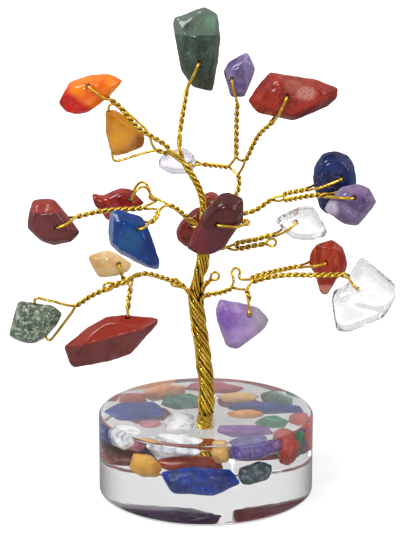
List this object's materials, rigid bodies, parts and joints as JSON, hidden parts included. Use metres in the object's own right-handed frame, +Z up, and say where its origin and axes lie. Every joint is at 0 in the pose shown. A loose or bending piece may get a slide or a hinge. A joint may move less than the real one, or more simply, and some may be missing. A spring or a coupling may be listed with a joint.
{
  "type": "gemstone tree ornament",
  "caption": "Miniature tree of tumbled gemstone chips on twisted brass wire branches, its wire trunk rooted in a round clear resin puck with more stones cast inside.",
  "frame": {"origin": "centre of the flat bottom face of the round resin base", "axes": "+Z up along the trunk, -Y towards the front, +X to the viewer's right seen from the front"},
  "size_m": [0.0707, 0.04, 0.0905],
  "materials": {
    "clear_resin": "clear",
    "brass_wire": "polished",
    "green_aventurine": "polished",
    "amethyst": "polished",
    "red_jasper": "polished",
    "carnelian": "polished",
    "yellow_aventurine": "polished",
    "clear_quartz": "polished",
    "lapis": "polished",
    "citrine": "polished",
    "moss_agate": "polished",
    "pink_jasper": "polished",
    "rose_quartz": "polished"
  },
  "bodies": {
    "tree": {"resin_base": "clear_resin", "wire_lower_left": "brass_wire", "wire_lower_right": "brass_wire", "wire_middle_left": "brass_wire", "wire_middle_right": "brass_wire", "wire_upper_right": "brass_wire", "wire_centre": "brass_wire", "wire_top": "brass_wire", "wire_upper_left": "brass_wire", "wire_upper_middle": "brass_wire", "wire_fork_right": "brass_wire", "wire_fork_left": "brass_wire", "cast_lapis_left": "lapis", "cast_aventurine_left": "green_aventurine", "cast_jasper_left": "red_jasper", "cast_carnelian_back": "carnelian", "cast_jasper_back": "red_jasper", "cast_citrine_back": "citrine", "cast_moss_agate_back": "moss_agate", "cast_lapis_right": "lapis", "cast_carnelian_right": "carnelian", "cast_aventurine_right": "green_aventurine", "cast_jasper_right": "red_jasper", "cast_jasper_rim": "red_jasper", "cast_amethyst_front": "amethyst", "cast_amethyst_rim": "amethyst", "cast_moss_agate_front": "moss_agate", "cast_citrine_rim": "citrine", "cast_lapis_front": "lapis", "cast_jasper_front": "red_jasper", "cast_quartz_rim": "clear_quartz", "cast_citrine_front": "citrine", "cast_quartz_front": "clear_quartz", "cast_rose_quartz": "rose_quartz", "cast_quartz_middle": "clear_quartz", "cast_carnelian_left": "carnelian", "cast_amethyst_back": "amethyst", "cast_jasper_middle": "red_jasper"},
    "green_aventurine_top": {"green_aventurine_top": "green_aventurine"},
    "amethyst_top": {"amethyst_top": "amethyst"},
    "red_jasper_right": {"red_jasper_right": "red_jasper"},
    "carnelian_upper_left": {"carnelian_upper_left": "carnelian"},
    "yellow_aventurine": {"yellow_aventurine": "yellow_aventurine"},
    "clear_quartz_back": {"clear_quartz_back": "clear_quartz"},
    "red_jasper_left": {"red_jasper_left": "red_jasper"},
    "carnelian_back_left": {"carnelian_back_left": "carnelian"},
    "lapis_left": {"lapis_left": "lapis"},
    "citrine_left": {"citrine_left": "citrine"},
    "moss_agate_left": {"moss_agate_left": "moss_agate"},
    "red_jasper_hanging": {"red_jasper_hanging": "red_jasper"},
    "lapis_right": {"lapis_right": "lapis"},
    "amethyst_right": {"amethyst_right": "amethyst"},
    "clear_quartz_middle": {"clear_quartz_middle": "clear_quartz"},
    "carnelian_right": {"carnelian_right": "carnelian"},
    "clear_quartz_right": {"clear_quartz_right": "clear_quartz"},
    "amethyst_hanging": {"amethyst_hanging": "amethyst"},
    "red_jasper_front": {"red_jasper_front": "red_jasper"},
    "carnelian_back_centre": {"carnelian_back_centre": "carnelian"},
    "pink_jasper_back": {"pink_jasper_back": "pink_jasper"}
  },
  "joints": [
    {"name": "green_aventurine_top_swing", "type": "hinge", "parent": "tree", "child": "green_aventurine_top", "pos_m": [-0.0013, 0.002, 0.0806], "axis": [0, 1, 0], "range_deg": [-8, 8]},
    {"name": "amethyst_top_swing", "type": "hinge", "parent": "tree", "child": "amethyst_top", "pos_m": [0.0045, 0, 0.0779], "axis": [0, 1, 0], "range_deg": [-8, 8]},
    {"name": "red_jasper_right_swing", "type": "hinge", "parent": "tree", "child": "red_jasper_right", "pos_m": [0.0143, -0.002, 0.0753], "axis": [0, 1, 0], "range_deg": [-8, 8]},
    {"name": "carnelian_upper_left_swing", "type": "hinge", "parent": "tree", "child": "carnelian_upper_left", "pos_m": [-0.0207, -0.005, 0.0776], "axis": [0, 1, 0], "range_deg": [-8, 8]},
    {"name": "yellow_aventurine_swing", "type": "hinge", "parent": "tree", "child": "yellow_aventurine", "pos_m": [-0.0172, 0, 0.0679], "axis": [-0.0698, 0, 0.9976], "range_deg": [-8, 8]},
    {"name": "clear_quartz_back_swing", "type": "hinge", "parent": "tree", "child": "clear_quartz_back", "pos_m": [-0.0031, 0.009, 0.0605], "axis": [0, 1, 0], "range_deg": [-8, 8]},
    {"name": "red_jasper_left_swing", "type": "hinge", "parent": "tree", "child": "red_jasper_left", "pos_m": [-0.0267, -0.006, 0.0523], "axis": [0, 1, 0], "range_deg": [-8, 8]},
    {"name": "carnelian_back_left_swing", "type": "hinge", "parent": "tree", "child": "carnelian_back_left", "pos_m": [-0.0138, 0.004, 0.0549], "axis": [0, 1, 0], "range_deg": [-8, 8]},
    {"name": "lapis_left_swing", "type": "hinge", "parent": "tree", "child": "lapis_left", "pos_m": [-0.0119, -0.01, 0.0531], "axis": [0, 1, 0], "range_deg": [-8, 8]},
    {"name": "citrine_left_swing", "type": "hinge", "parent": "tree", "child": "citrine_left", "pos_m": [-0.016, 0.003, 0.0429], "axis": [0, 1, 0], "range_deg": [-8, 8]},
    {"name": "moss_agate_left_swing", "type": "hinge", "parent": "tree", "child": "moss_agate_left", "pos_m": [-0.0301, -0.005, 0.0341], "axis": [-0.28, 0, 0.96], "range_deg": [-8, 8]},
    {"name": "red_jasper_hanging_swing", "type": "hinge", "parent": "tree", "child": "red_jasper_hanging", "pos_m": [-0.0141, -0.00825, 0.03505], "axis": [0, -0.7507, 0.6606], "range_deg": [-8, 8]},
    {"name": "lapis_right_swing", "type": "hinge", "parent": "tree", "child": "lapis_right", "pos_m": [0.0245, 0, 0.06], "axis": [0, 1, 0], "range_deg": [-8, 8]},
    {"name": "amethyst_right_swing", "type": "hinge", "parent": "tree", "child": "amethyst_right", "pos_m": [0.0262, -0.006, 0.0578], "axis": [0, 1, 0], "range_deg": [-8, 6]},
    {"name": "clear_quartz_middle_swing", "type": "hinge", "parent": "tree", "child": "clear_quartz_middle", "pos_m": [0.016, -0.006, 0.0533], "axis": [0, 1, 0], "range_deg": [-8, 8]},
    {"name": "carnelian_right_swing", "type": "hinge", "parent": "tree", "child": "carnelian_right", "pos_m": [0.0219, 0.001, 0.0439], "axis": [0, 1, 0], "range_deg": [-8, 8]},
    {"name": "clear_quartz_right_swing", "type": "hinge", "parent": "tree", "child": "clear_quartz_right", "pos_m": [0.0274, -0.004, 0.0404], "axis": [0, 1, 0], "range_deg": [-8, 8]},
    {"name": "amethyst_hanging_swing", "type": "hinge", "parent": "tree", "child": "amethyst_hanging", "pos_m": [0.0077, -0.008, 0.0366], "axis": [0, 1, 0], "range_deg": [-8, 8]},
    {"name": "red_jasper_front_swing", "type": "hinge", "parent": "tree", "child": "red_jasper_front", "pos_m": [0.0019, -0.007, 0.0531], "axis": [0, 1, 0], "range_deg": [-8, 8]},
    {"name": "carnelian_back_centre_swing", "type": "hinge", "parent": "tree", "child": "carnelian_back_centre", "pos_m": [-0.0026, 0.0049, 0.0497], "axis": [0, 1, 0], "range_deg": [-8, 8]},
    {"name": "pink_jasper_back_swing", "type": "hinge", "parent": "tree", "child": "pink_jasper_back", "pos_m": [0.0009, 0.0084, 0.0534], "axis": [0, 1, 0], "range_deg": [-8, 8]}
  ]
}
